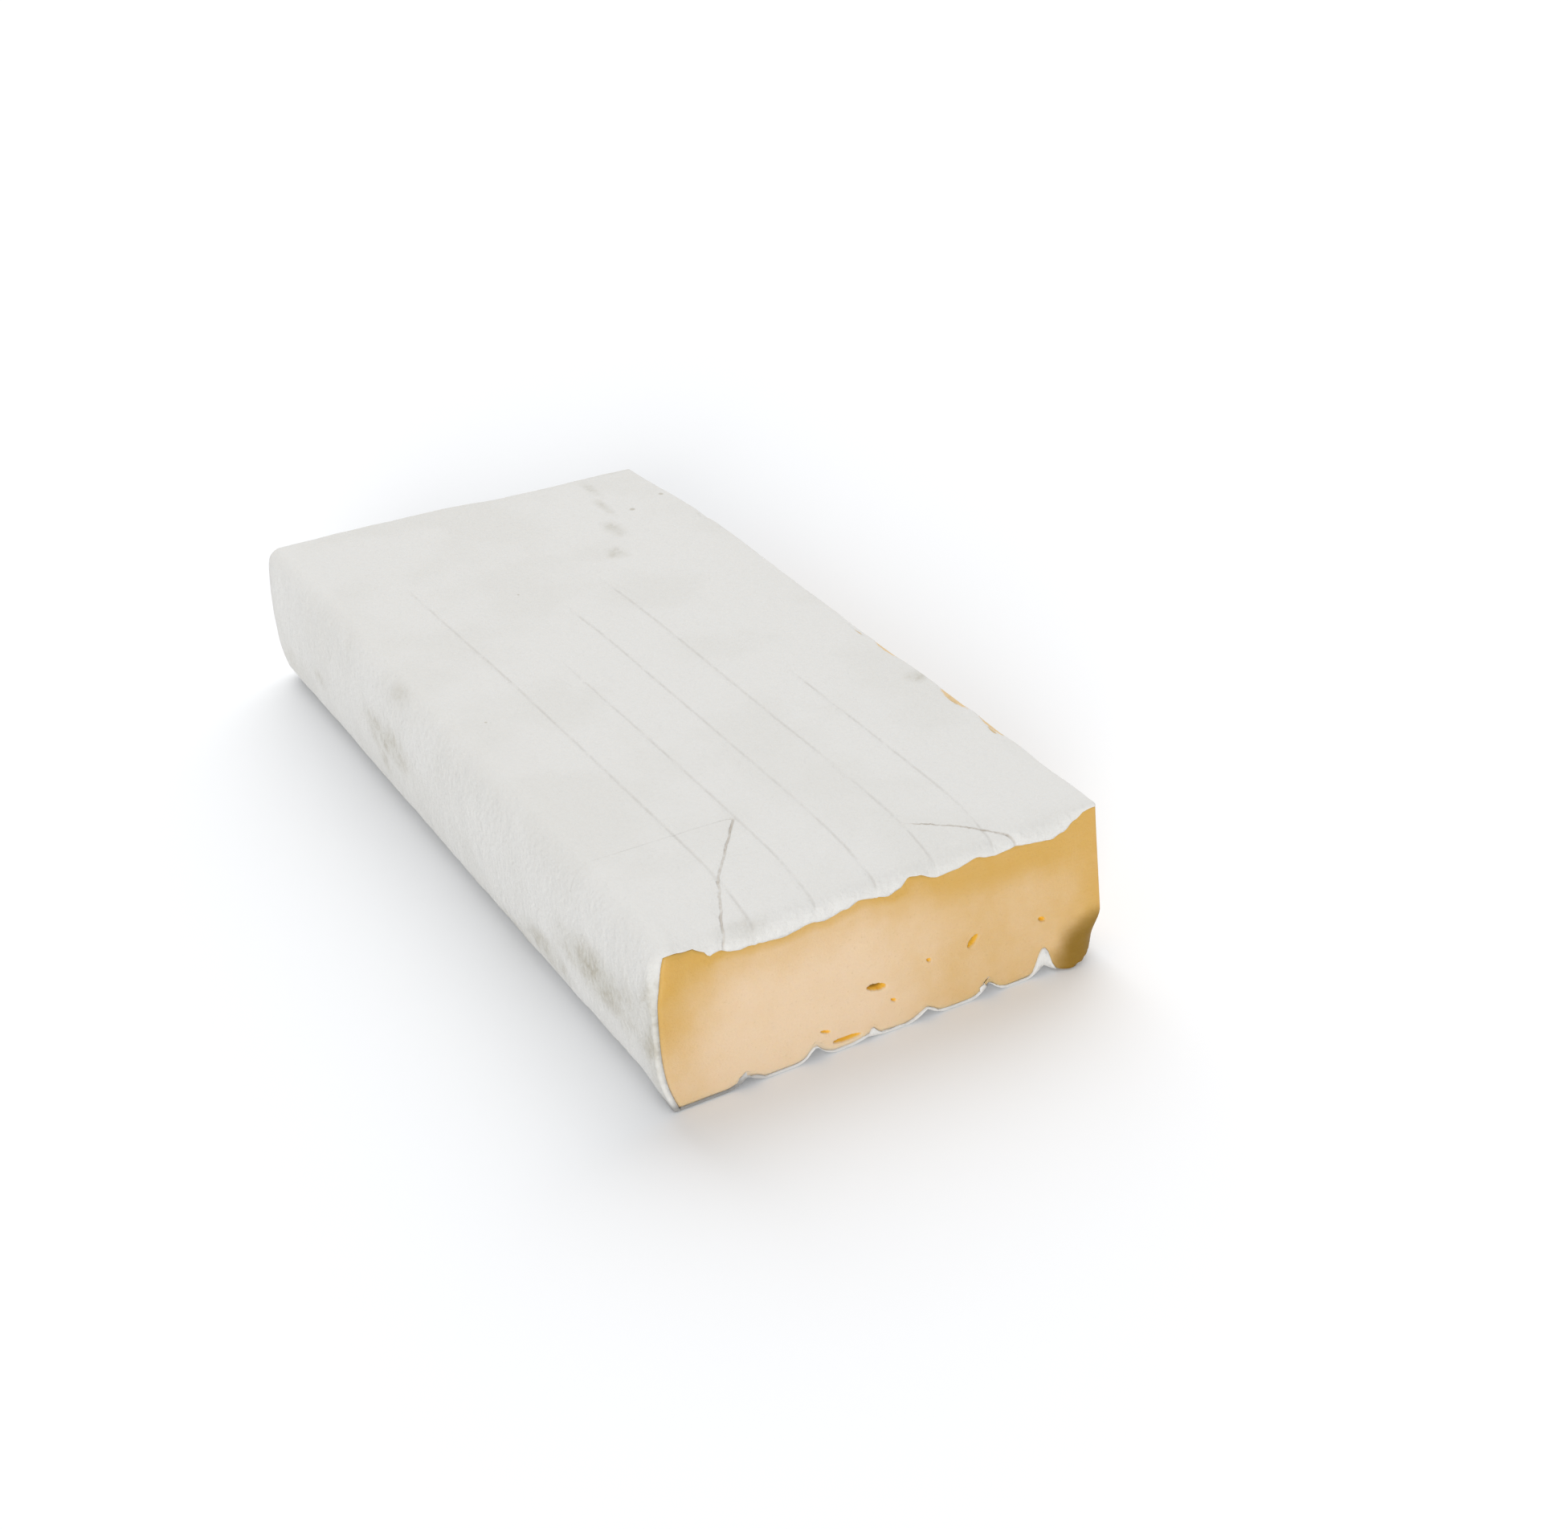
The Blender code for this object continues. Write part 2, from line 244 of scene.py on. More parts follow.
# How far the paste's skin lies inside the cheese's outer form, under the rind and where it shows
DEPTH_UNDER_RIND = 0.85 * MM
DEPTH_AT_CUT = 0.3 * MM

# Eyes in the paste: place along the cut, height, length, thickness, depth, tilt in degrees
END_EYES = [
    (-3.4, 12.7, 5.4, 1.8, 3.0, -14),
    (22.6, 15.5, 3.8, 1.8, 3.0, 42),
    (10.6, 14.7, 1.4, 0.9, 1.2, -30),
    (42.0, 14.5, 2.2, 1.1, 1.4, -28),
    (-11.5, 2.4, 7.6, 1.4, 1.8, -3),
    (-17.0, 6.1, 2.8, 0.8, 1.0, -20),
    (1.0, 7.8, 1.6, 0.8, 1.0, -28),
]
SIDE_EYES = [
    (-88.0, 21.0, 2.4, 1.4, 1.8, 20),
    (-61.0, 12.5, 4.6, 1.8, 2.6, -12),
    (-30.0, 26.0, 1.6, 1.2, 1.4, 0),
    (-9.0, 16.0, 3.4, 1.6, 2.4, 35),
    (38.0, 10.0, 2.0, 1.2, 1.6, 0),
    (57.0, 24.0, 4.0, 1.5, 2.4, 8),
    (91.0, 15.0, 1.8, 1.3, 1.6, -30),
]

# An eye no deeper than this, in mm, is golden inside, and one twice as deep has painted shade inside
SHALLOW_EYE = 1.5

# Cracks and tears show only above these heights, and the painted contact shadow along the left foot is full
# below its own height and fades out above it
CRACK_LOWEST = 28 * MM
TEAR_LOWEST = 30 * MM
PAINTED_SHADOW_HEIGHT = 1 * MM
PAINTED_SHADOW_FADE = 2 * MM

# How far round an eye, in mm, the grid is made finer, and by how many cuts
EYE_MARGIN = 1
EYE_CUTS = 3

# Where the paste is ripe: beside the left rind, just under the top rind, and in a softer band there. The
# narrow band just under the top rind is partly ripe paste and partly painted shade under the rind's edge
LEFT_BAND = 22 * MM
SKIN_BAND = 2.4 * MM
TOP_BAND = 13 * MM
PATCH_SIZE = 14 * MM

# How far the heel's dark colour, partly a dry crust and partly painted shade, reaches from the foot of the
# corner, across the block and upwards
HEEL_REACH = 19 * MM
HEEL_CLIMB = 15 * MM

# What the points of the rind and of the paste carry for their materials. The rind's foot mark places a
# painted contact shadow and its crease mark painted shade in the mat's lines; the paste's eye mark places
# painted shade inside the deeper eyes, and its heel mark a dark colour that is partly dry crust and partly
# painted shade
RIND_MARKS = ("crease", "crack_offset", "crack", "stain", "tear", "foot")
PASTE_MARKS = ("ripeness", "heel", "eye", "gash")

# The photograph's camera
SENSOR_WIDTH = 36
PHOTO_WIDTH = 1952
PHOTO_FOCAL_PX = 2943
CAMERA_PLACE = (-0.2404, -0.4654, 0.3221)
CAMERA_AZIMUTH = -31.2
CAMERA_ELEVATION = 30.76

# Light: the main one from behind on the right, the fill one low from the front on the left
MAIN_LIGHT_PLACE = (0.38, 0.7, 0.65)
MAIN_LIGHT_SPREAD = 64
FILL_LIGHT_PLACE = (-0.58, -0.85, 0.3)
FILL_LIGHT_SPREAD = 20

# The floor lies a hair under the cheese
FLOOR_DROP = 0.05 * MM
FLOOR_COLOUR = (0.875, 0.885, 0.9, 1)


def from_screen(red, green, blue):
    """A colour as a screen shows it, 0 to 255, turned into the linear values that shaders take."""
    linear = []
    for part in (red, green, blue):
        share = part / 255
        linear.append(share / 12.92 if share <= 0.04045 else ((share + 0.055) / 1.055) ** 2.4)
    return (*linear, 1.0)


def distance_value(name, description, default):
    return FloatProperty(
        name=name, description=description, default=default, min=0.0, unit="LENGTH", subtype="DISTANCE"
    )


def colour_value(name, description, default):
    return FloatVectorProperty(
        name=name, description=description, default=default, size=4, min=0.0, max=1.0, subtype="COLOR"
    )


class CheeseSizes(bpy.types.PropertyGroup):
    """Sizes of the block and of its rind."""

    width: distance_value("Width", "Across the block at its widest", 118 * MM)
    length: distance_value("Length", "From the cut end to the back end", 234 * MM)
    height: distance_value("Height", "From the base to the top", 40 * MM)
    rind_thickness: distance_value("Rind Thickness", "Depth of the white coat", 1.2 * MM)
    mat_pitch: distance_value("Mat Pitch", "Between two lines of the draining mat", 15.6 * MM)
    line_depth: distance_value("Line Depth", "How deep the mat's lines lie in the top", 0.2 * MM)
    droop: distance_value("Droop", "How far the top rind sinks at the cut end", 1.6 * MM)
    lump: distance_value("Lump", "Soft unevenness of the whole skin", 0.5 * MM)
    fuzz: distance_value("Fuzz", "Relief of the cottony rind", 0.25 * MM)


class CheeseColours(bpy.types.PropertyGroup):
    """Colours of the rind and of the paste."""

    rind: colour_value("Rind", "The white mould", from_screen(212, 211, 208))
    stain: colour_value("Stain", "Where the mould is thin", from_screen(190, 188, 180))
    scuff: colour_value("Scuff", "Where the mould is worn to grey-brown", from_screen(160, 152, 134))
    # Painted shadow: a dark grey tone along the left wall's lowest edge, in place of its contact shadow
    painted_foot_shadow: colour_value("Painted Foot Shadow", "The lowest edge of the rind", from_screen(112, 110, 107))
    # Painted shade in the mat's lines
    crease: colour_value("Crease", "In the mat's lines", from_screen(186, 183, 178))
    crack: colour_value("Crack", "In the cracks of the rind", from_screen(158, 142, 120))
    torn: colour_value("Torn Edge", "Where the rind has come off", from_screen(214, 182, 130))
    pale: colour_value("Pale Paste", "The middle of the cut", from_screen(217, 192, 161))
    ripe: colour_value("Ripe Paste", "The paste beside the rind", from_screen(196, 155, 76))
    # Partly a dry crust and partly painted shade on the heel
    heel: colour_value("Heel", "The dark, dry foot of the cut side", from_screen(132, 99, 16))
    # Painted shade inside the deeper eyes
    shaded_hollow: colour_value("Hollow", "Inside the eyes", from_screen(128, 100, 34))
    gold: colour_value("Gold", "Moist paste in a gash and round the eyes", from_screen(232, 184, 52))


class CheeseStage(bpy.types.PropertyGroup):
    """Floor and light."""

    floor_size: distance_value("Floor Size", "Side of the square floor", 30.0)
    sky: FloatProperty(name="Sky", description="Strength of the even light", default=0.53, min=0.0)
    main_light: FloatProperty(name="Main Light", description="Strength from behind", default=2.2, min=0.0)
    fill_light: FloatProperty(name="Fill Light", description="Strength from the front", default=2.0, min=0.0)


def plain_values(group):
    """The values of a property group as plain numbers, which are quicker to read."""
    return SimpleNamespace(**{key: getattr(group, key) for key in group.__annotations__})


def mix(low, high, share):
    """The value that lies this share of the way from low to high."""
    return low + (high - low) * share


def smooth(share):
    """A share from 0 to 1 that starts and ends gently."""
    share = min(1.0, max(0.0, share))
    return share * share * (3 - 2 * share)


def nearness(distance, reach):
    """1 at no distance, falling to 0 at the reach."""
    return 1 - smooth(distance / reach)


def along_outline(points, place):
    """The height of an outline at this place, with soft bends between its points."""
    for (x0, y0), (x1, y1) in zip(points, points[1:]):
        if place <= x1:
            return mix(y0, y1, smooth((place - x0) / (x1 - x0)))
    return points[-1][1]


def filled(places, widest, closest=0.3 * MM):
    """Grid places in order, with more between them wherever a gap is wider than allowed."""
    places = sorted(places)
    kept = [places[0]]
    for place in places[1:]:
        gap = place - kept[-1]
        if gap < closest:
            continue
        steps = math.ceil(gap / widest)
        kept += [kept[-1] + gap * step / steps for step in range(1, steps + 1)]
    kept[-1] = places[-1]
    return kept


def top_line_places(sizes):
    return [FIRST_TOP_LINE + sizes.mat_pitch * i for i in range(len(TOP_LINE_ENDS))]


def line_bend(y, sizes):
    """How far to the left the mat's lines have drifted at this place along the block."""
    at_cut = LINE_BEND_AT_CUT * nearness(y + sizes.length / 2, CUT_BEND_REACH)
    return at_cut + LINE_BEND_AT_BACK * smooth(y / BACK_BEND_REACH)


def rind_side_setback(z, to_back, sizes):
    """How far a rind wall stands in from its belly at this height, nearer the front or the back."""
    if z < BELLY_HEIGHT:
        return RIND_FOOT_SETBACK * (1 - z / BELLY_HEIGHT) ** mix(3, 1.8, to_back)
    shoulder = mix(FRONT_SHOULDER_SETBACK, BACK_SHOULDER_SETBACK, to_back)
    return shoulder * ((z - BELLY_HEIGHT) / (sizes.height - BELLY_HEIGHT)) ** 2


def wall_places(x, y, z, sizes):
    """The left, right, front and back walls near this place."""
    half_width, half_length = sizes.width / 2, sizes.length / 2
    to_back = smooth((y + half_length / 2) / (1.5 * half_length))
    setback = rind_side_setback(z, to_back, sizes)
    left = -half_width + mix(setback, RIND_SIDE_TAPER + 0.7 * setback, to_back)
    lean = mix(CUT_SIDE_LEAN, CUT_CORNER_LEAN, nearness(y + half_length, CUT_SIDE_PINCH_REACH))
    right = half_width - lean * max(0.0, z - HEEL_HEIGHT) / (sizes.height - HEEL_HEIGHT)
    right -= CUT_SIDE_PINCH * nearness(half_length - y, CUT_SIDE_PINCH_REACH)
    heel = smooth((x - HEEL_PLACE) / HEEL_RISE) * nearness(z, HEEL_HEIGHT)
    front = -half_length + HEEL_BULGE * (1 - heel) + CUT_END_LEAN * z / sizes.height
    skew = BACK_END_SKEW * smooth((x + 5 * MM) / (25 * MM))
    back = half_length - 0.5 * rind_side_setback(z, 1, sizes) - skew
    return left, right, front, back


def edge_radii(x, y, z, sizes):
    """The radii in X, Y and Z by which the block's edges are rounded near this place."""
    width, length, height = sizes.width, sizes.length, sizes.height
    high = smooth((z - height + 16 * MM) / (8 * MM))
    low = smooth((HEEL_HEIGHT - z) / (8 * MM))
    to_left = nearness(x + width / 2, 16 * MM)
    to_right = nearness(width / 2 - x, 18 * MM)
    to_front = nearness(y + length / 2, 14 * MM)
    to_back = nearness(length / 2 - y, 20 * MM)
    if x < 0:
        across = mix(CUT_RADIUS, RIND_TOP_RADIUS, high)
        across = mix(across, mix(RIND_BASE_RADIUS, CUT_RADIUS, to_front), low)
        across = mix(across, RIND_CORNER_RADIUS, to_back * (1 - low))
    else:
        across = mix(CUT_RADIUS, mix(HEEL_SIDE_RADIUS, HEEL_RADIUS, to_front), low)
    if y < 0:
        along = mix(mix(CUT_RADIUS, LIP_RADIUS, high * (1 - to_right)), HEEL_RADIUS, low * to_right)
    else:
        along = mix(mix(RIND_CORNER_RADIUS, RIND_TOP_RADIUS, high), RIND_BASE_RADIUS, low)
        along = mix(along, CUT_RADIUS, to_right * (1 - high) * (1 - low))
    if z > height / 2:
        up = mix(RIND_TOP_RADIUS, LIP_RADIUS, to_front * (1 - to_left))
        up = mix(up, CUT_RADIUS, nearness(width / 2 - x, 9 * MM) * (1 - to_back))
    else:
        up = mix(RIND_BASE_RADIUS, HEEL_SIDE_RISE, to_right)
        at_front = mix(CUT_FOOT_RADIUS, HEEL_FOOT_RADIUS, nearness(width / 2 - x, 10 * MM))
        up = mix(up, at_front, to_front)
    return across, along, up


def rounded(place, sizes):
    """Moves a place on the plain box onto the box with rounded edges."""
    radii = edge_radii(*place, sizes)
    low = (-sizes.width / 2, -sizes.length / 2, 0.0)
    high = (sizes.width / 2, sizes.length / 2, sizes.height)
    core, reach = [], []
    for axis in range(3):
        inner_low = low[axis] + radii[axis]
        inner_high = high[axis] - radii[axis]
        core.append(min(inner_high, max(inner_low, place[axis])))
        reach.append((place[axis] - core[axis]) / radii[axis])
    reach = Vector(reach)
    if reach.length > 1e-9:
        reach = reach * max(abs(part) for part in reach) / reach.length
    return Vector(core[axis] + reach[axis] * radii[axis] for axis in range(3))


def leaned(p, sizes):
    """Stretches the block between its four walls, which aren't upright."""
    left, right, front, back = wall_places(p.x, p.y, p.z, sizes)
    x = mix(left, right, p.x / sizes.width + 0.5)
    y = mix(front, back, p.y / sizes.length + 0.5)
    return Vector((x, y, p.z))


def groove_height(x):
    """How far the base is lifted by the mat's grooves. The lobes between them stay flat."""
    lift = 0.0
    for place, depth in BASE_GROOVES:
        nearby = max(0.0, 1 - abs(x - place) / BASE_GROOVE_HALF_WIDTH)
        lift = max(lift, depth * nearby**2)
    return lift


def line_strength(x, y, sizes):
    """How strongly a mat's line marks the top here: 1 in its middle, 0 beside it and past its end."""
    strength = 0.0
    for place, end in zip(top_line_places(sizes), TOP_LINE_ENDS):
        beside = max(0.0, 1 - abs(x - place) / TOP_LINE_HALF_WIDTH)
        strength = max(strength, beside * (1 - smooth((y - end) / TOP_LINE_FADE)))
    return strength


def top_sink(x, y, sizes):
    """How far the top lies below the full height: the mat's lines, and the droop to the cut end."""
    from_line = min(abs(x - place) for place in top_line_places(sizes))
    droop = sizes.droop + DROOP_AT_LINE * math.cos(math.pi * from_line / sizes.mat_pitch) ** 2
    droop *= nearness(-x - (sizes.width / 2 - 9 * MM), 5 * MM) * nearness(x - 45 * MM, 10 * MM)
    droop *= max(0.0, 1 - (y + sizes.length / 2) / DROOP_REACH) ** 2
    return droop + sizes.line_depth * line_strength(x, y, sizes)


def sink_share(z, sizes):
    """How much of the top's sinking is felt at this height."""
    return smooth((z - sizes.height / 2) / (sizes.height / 2))


def lumpy(p, sizes):
    """Adds soft unevenness, none of it on the base."""
    rise = sizes.lump * smooth(p.z / (10 * MM))
    drift = [noise.noise(p / LUMP_SIZE + Vector(offset)) * rise for offset in LUMP_OFFSETS]
    return p + Vector((drift[0], drift[1], drift[2] * p.z / sizes.height))


def rind_edge_depths(x, y, sizes):
    """How far the rind's edges reach down from the top and up from the base, near the cuts."""
    on_end = nearness(y + sizes.length / 2, EDGE_REACH)
    ragged = noise.noise(Vector((x, y, 0)) / RAGGED_SIZE) * RAGGED_DEPTH
    side_top = SIDE_TOP_EDGE + noise.noise(Vector((0, y / EDGE_WAVE_LENGTH, 9))) * EDGE_WAVE_DEPTH
    lip = along_outline(RIND_LIP, x / MM) * MM
    end_top = sizes.height - lip - top_sink(x, y, sizes) * sink_share(lip, sizes)
    top = mix(side_top, end_top, on_end) + ragged
    foot = mix(SIDE_FOOT_EDGE, along_outline(RIND_FOOT, x / MM) * MM, on_end) + 0.3 * ragged
    return max(LEAST_TOP_EDGE, top), max(LEAST_FOOT_EDGE, foot)


def carried_to_edge(place, sizes):
    """Bends the grid's levels so that two of them follow the rind's edges."""
    x, y, z = place
    top, foot = rind_edge_depths(x, y, sizes)
    steps = [0.0, RIM_FOOT, sizes.height - RIM_TOP, sizes.height]
    heights = [0.0, foot, sizes.height - top, sizes.height]
    for i in range(3):
        if z <= steps[i + 1] + 1e-7:
            bent = mix(heights[i], heights[i + 1], (z - steps[i]) / (steps[i + 1] - steps[i]))
            break
    near_cut = max(
        nearness(y + sizes.length / 2, EDGE_REACH),
        nearness(sizes.width / 2 - x, EDGE_REACH),
    )
    return Vector((x, y, mix(z, bent, near_cut)))


def formed(place, sizes):
    """The place on the cheese's skin of a place on the plain box."""
    p = leaned(rounded(carried_to_edge(place, sizes), sizes), sizes)
    high = sink_share(p.z, sizes)
    lift = groove_height(p.x) * max(0.0, 1 - p.z / GROOVE_FADE_HEIGHT) ** 2
    sink = top_sink(p.x + straightened(p, sizes), p.y, sizes) * high
    p = lumpy(p, sizes)
    p.z += lift - sink
    p.x -= line_bend(p.y, sizes) * high * nearness(abs(p.x) - 35 * MM, 18 * MM)
    return p


def straightened(p, sizes):
    """The sideways way from a place on the skin back to its grid column, away from the walls' lean."""
    left, right = wall_places(p.x, p.y, sizes.height, sizes)[:2]
    straight_left, straight_right = wall_places(p.x, 0.0, sizes.height, sizes)[:2]
    share = (p.x - left) / (right - left)
    return mix(straight_left, straight_right, share) - p.x


def column_for(x, z, sizes):
    """The grid column that the leaning walls carry to the place x at the height z."""
    left, right = wall_places(x, 0.0, z, sizes)[:2]
    return ((x - left) / (right - left) - 0.5) * sizes.width


def grid_columns(sizes, widest):
    """Places across the block: close at its sides and round every line and groove."""
    half = sizes.width / 2
    places = [-half, half, -half + RIM_WIDTH, HEEL_RIND_EDGE]
    places += [-half + step * MM for step in (0.7, 2.5, 4, 6, 8)]
    places += [half - step * MM for step in (0.5, 1, 2, 3.5, 5.5)]
    for line in top_line_places(sizes):
        for step in (-1, -0.45, 0, 0.45, 1):
            places.append(column_for(line + step * TOP_LINE_HALF_WIDTH, sizes.height, sizes))
    for groove, _ in BASE_GROOVES:
        for step in (-1, -0.4, 0, 0.4, 1):
            places.append(column_for(groove + step * BASE_GROOVE_HALF_WIDTH, 0.0, sizes))
    return filled(places, widest)


def grid_rows(sizes, widest):
    """Places along the block: close at both ends, and closer in its front half than behind."""
    half = sizes.length / 2
    places = [-half + step * MM for step in (0, 0.5, 1, 1.6, 2.3, 3.1, 4, 5)]
    places += filled([-half + 5 * MM, -half + 35 * MM], 1.2 * MM)
    places += filled([-half + 35 * MM, -half + 105 * MM], widest / 2)
    places += [half - step * MM for step in (0, 0.7, RIM_WIDTH / MM, 2.5, 4, 6, 8.5, 12)]
    return filled(places, widest)


def grid_levels(sizes, widest):
    """Places up the block: close at its base and at its top."""
    places = [0.0, 0.6 * MM, RIM_FOOT, 2 * MM, 3 * MM, 4.5 * MM, 6 * MM, 8 * MM]
    places += [sizes.height - step * MM for step in (0, 0.35, 0.7, 1.05, 1.4, 1.7, RIM_TOP / MM)]
    places += [sizes.height - step * MM for step in (2.4, 3, 4, 5, 6.5, 8)]
    return filled(places, widest)


def split_along(bm, axis, cuts):
    """Cuts every edge that runs along this axis, so that the box becomes a grid."""
    edges = []
    for edge in bm.edges:
        span = edge.verts[1].co - edge.verts[0].co
        if abs(span[axis]) > 0.5 * span.length:
            edges.append(edge)
    bmesh.ops.subdivide_edges(bm, edges=edges, cuts=cuts, use_grid_fill=True)


def shows_paste(low, high, sizes):
    """Whether a face of the plain box, given by its two corners, is cut open and not under rind."""
    half_width, half_length = sizes.width / 2, sizes.length / 2
    on_end = high.y < -half_length + HAIR
    on_side = low.x > half_width - HAIR
    at_heel = low.x > HEEL_RIND_EDGE - HAIR
    clear_of_back = high.y < half_length - RIM_WIDTH + HAIR
    clear_of_left = low.x > -half_width + RIM_WIDTH - HAIR
    clear_of_top = high.z < sizes.height - RIM_TOP + HAIR
    clear_of_foot = at_heel or low.z > RIM_FOOT - HAIR
    if on_side:
        return clear_of_back and clear_of_top
    if at_heel and high.z < HAIR:
        return clear_of_back
    return on_end and clear_of_left and clear_of_top and clear_of_foot


def build_skin(sizes, level_gap):
    """The cheese's whole skin as a fine grid. Its faces tell paste, 1, from rind, 0, by material."""
    grid = [grid_columns(sizes, COLUMN_GAP), grid_rows(sizes, ROW_GAP), grid_levels(sizes, level_gap)]
    bm = bmesh.new()
    bmesh.ops.create_cube(bm, size=1)
    for axis in range(3):
        split_along(bm, axis, len(grid[axis]) - 2)
    for vert in bm.verts:
        for axis in range(3):
            index = round((vert.co[axis] + 0.5) * (len(grid[axis]) - 1))
            vert.co[axis] = grid[axis][index]
    for face in bm.faces:
        corners = [vert.co for vert in face.verts]
        low = Vector(min(c[axis] for c in corners) for axis in range(3))
        high = Vector(max(c[axis] for c in corners) for axis in range(3))
        face.material_index = 1 if shows_paste(low, high, sizes) else 0
    for vert in bm.verts:
        vert.co = formed(vert.co, sizes)
    for axis in range(2):
        places = [vert.co[axis] for vert in bm.verts]
        off_centre = Vector()
        off_centre[axis] = -(min(places) + max(places)) / 2
        bmesh.ops.translate(bm, verts=bm.verts, vec=off_centre)
    bm.normal_update()
    return bm


def finished_piece(name, bm, material):
    """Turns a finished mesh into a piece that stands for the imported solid."""
    for face in bm.faces:
        face.material_index = 0
        face.smooth = True
    mesh = bpy.data.meshes.new(name)
    bm.to_mesh(mesh)
    bm.free()
    mesh.materials.append(material)
    piece = bpy.data.objects.new(name, mesh)
    bpy.context.scene.collection.objects.link(piece)
    return piece


def crack_place(crack, y):
    """Where a crack lies across the block at this place along it."""
    for (y0, x0), (y1, x1) in zip(crack, crack[1:]):
        if y / MM <= y1:
            break
    return mix(x0, x1, (y / MM - y0) / (y1 - y0)) * MM


def crack_at(p):
    """The nearer crack's distance, below zero outside the pair, and its strength at this place."""
    from_left = (p.x - crack_place(LEFT_CRACK, p.y)) * CRACK_SLANT
    from_right = (crack_place(RIGHT_CRACK, p.y) - p.x) * CRACK_SLANT
    left_end = LEFT_CRACK[-1][0] * MM - p.y
    right_end = RIGHT_CRACK[-1][0] * MM - p.y
    if abs(from_left) < abs(from_right):
        return from_left, smooth(left_end / CRACK_FADE)
    return from_right, smooth(right_end / CRACK_FADE)


def stain_at(p):
    """How thin or stained the mould is here, from 0 to 1."""
    stain = 0.0
    for centre, reach, strength in RIND_STAINS:
        away = math.hypot(*((p[axis] / MM - centre[axis]) / reach[axis] for axis in range(3)))
        stain = max(stain, strength * nearness(away, 1.0))
    return stain


def tear_at(p, sizes):
    """How far the rind is torn off the cut side's top edge here, from 0 to 1."""
    right = wall_places(p.x, p.y, sizes.height, sizes)[1]
    torn = 0.0
    for place, half_length, reach in TEARS:
        away = math.hypot((p.y / MM - place) / half_length, (right - p.x) / (reach * MM))
        torn = max(torn, nearness(away - 0.35, 0.8))
    return torn * smooth((p.z - TEAR_LOWEST) / (6 * MM))


def rind_relief(p, normal, sizes):
    """How far the cottony rind lies under its highest tufts, more on its sides than on top."""
    side = max(abs(normal.x), normal.y)
    tufts = 0.5 + 0.5 * noise.noise(p / TUFT_SIZE)
    pits = 0.5 + 0.5 * noise.noise(p / PIT_SIZE)
    return sizes.fuzz * (mix(0.25, 1.3, side) * tufts + mix(0.3, 0.6, side) * pits)


def build_rind(sizes):
    """The rind as a coat: the skin with its relief, opened at the cuts and given a thickness."""
    bm = build_skin(sizes, RIND_LEVEL_GAP)
    marks = {name: bm.verts.layers.float.new(name) for name in RIND_MARKS}
    for vert in bm.verts:
        straight = vert.co.x + line_bend(vert.co.y, sizes) + straightened(vert.co, sizes)
        on_top = smooth((vert.normal.z - 0.3) / 0.4)
        offset, crack = crack_at(vert.co)
        crack *= smooth((vert.co.z - CRACK_LOWEST) / (4 * MM))
        torn = tear_at(vert.co, sizes)
        vert[marks["crease"]] = line_strength(straight, vert.co.y, sizes) * on_top
        vert[marks["crack_offset"]] = min(5.0, max(-5.0, offset / MM))
        vert[marks["crack"]] = crack
        vert[marks["stain"]] = stain_at(vert.co)
        vert[marks["tear"]] = torn
        # Painted contact shadow: the lowest millimetres of the block's left part are marked for a dark grey
        # tone
        on_left = smooth((-sizes.width / 4 - vert.co.x) / (9 * MM))
        vert[marks["foot"]] = on_left * nearness(vert.co.z - PAINTED_SHADOW_HEIGHT, PAINTED_SHADOW_FADE)
        depth = rind_relief(vert.co, vert.normal, sizes) + TEAR_DEPTH * torn
        depth += CRACK_DEPTH * crack * nearness(abs(offset), CRACK_HALF_WIDTH)
        vert.co -= vert.normal * depth * smooth(vert.co.z / (3 * MM))
    open_faces = [face for face in bm.faces if face.material_index == 1]
    bmesh.ops.delete(bm, geom=open_faces, context="FACES")
    bm.normal_update()
    bmesh.ops.solidify(bm, geom=bm.faces[:], thickness=sizes.rind_thickness)
    return bm


def eye_share(across, up, eye):
    """How far inside an eye a place on the cut is: 0 from its rim outwards, 1 in its middle."""
    place, height, long, thick, _, tilt = eye
    turn = math.radians(tilt)
    x, z = across / MM - place, up / MM - height
    along = x * math.cos(turn) + z * math.sin(turn)
    beside = z * math.cos(turn) - x * math.sin(turn)
    return max(0.0, 1 - (2 * along / long) ** 2 - (2 * beside / thick) ** 2)


def press_eyes(bm, marks, eyes, facing, across):
    """Presses eyes into the cut that faces this way, after making its grid finer round them all."""
    inward = -Vector(facing)

    def near_eye(p, eye):
        return math.hypot(p[across] / MM - eye[0], p.z / MM - eye[1]) < eye[2] / 2 + EYE_MARGIN

    edges = set()
    for face in bm.faces:
        middle = face.calc_center_median()
        if face.normal.dot(inward) < -0.8 and any(near_eye(middle, eye) for eye in eyes):
            edges.update(face.edges)
    bmesh.ops.subdivide_edges(bm, edges=list(edges), cuts=EYE_CUTS, use_grid_fill=True)
    bm.normal_update()
    for eye in eyes:
        # Deeper eyes get painted shade inside through the eye mark, shallow ones a golden tone through the
        # gash mark
        dark = min(1.0, max(0.0, eye[4] / SHALLOW_EYE - 1))
        for vert in bm.verts:
            if vert.normal.dot(inward) < -0.5 and near_eye(vert.co, eye):
                depth = math.sqrt(eye_share(vert.co[across], vert.co.z, eye))
                vert[marks["eye"]] = max(vert[marks["eye"]], depth * dark)
                vert[marks["gash"]] = max(vert[marks["gash"]], depth * (1 - dark))
                vert.co += inward * eye[4] * MM * depth
        bm.normal_update()


